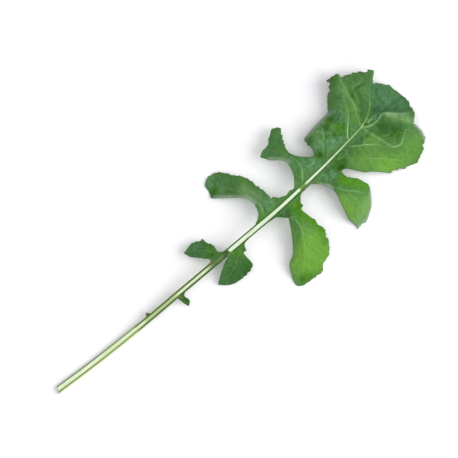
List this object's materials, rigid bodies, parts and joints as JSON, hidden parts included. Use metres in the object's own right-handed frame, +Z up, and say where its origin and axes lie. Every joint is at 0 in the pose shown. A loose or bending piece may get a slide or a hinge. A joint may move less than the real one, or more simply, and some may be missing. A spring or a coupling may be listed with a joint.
{
  "type": "arugula leaf",
  "caption": "Cut arugula leaf lying on a surface, with a long pale stalk, toothed and waved side lobes, and a broad pleated end lobe.",
  "frame": {"origin": "under the middle of the leaf's bounding box, on the surface that it lies on", "axes": "+X along the stalk from its cut end to the leaf's tip, +Y to the leaf's left, +Z up, through the thin direction of the lying leaf"},
  "size_m": [0.1829, 0.0587, 0.0107],
  "materials": {
    "stalk": "satin, moist",
    "blade": "satin, slightly waxy"
  },
  "bodies": {
    "root": {"stalk": "stalk", "blade": "blade"}
  },
  "joints": []
}
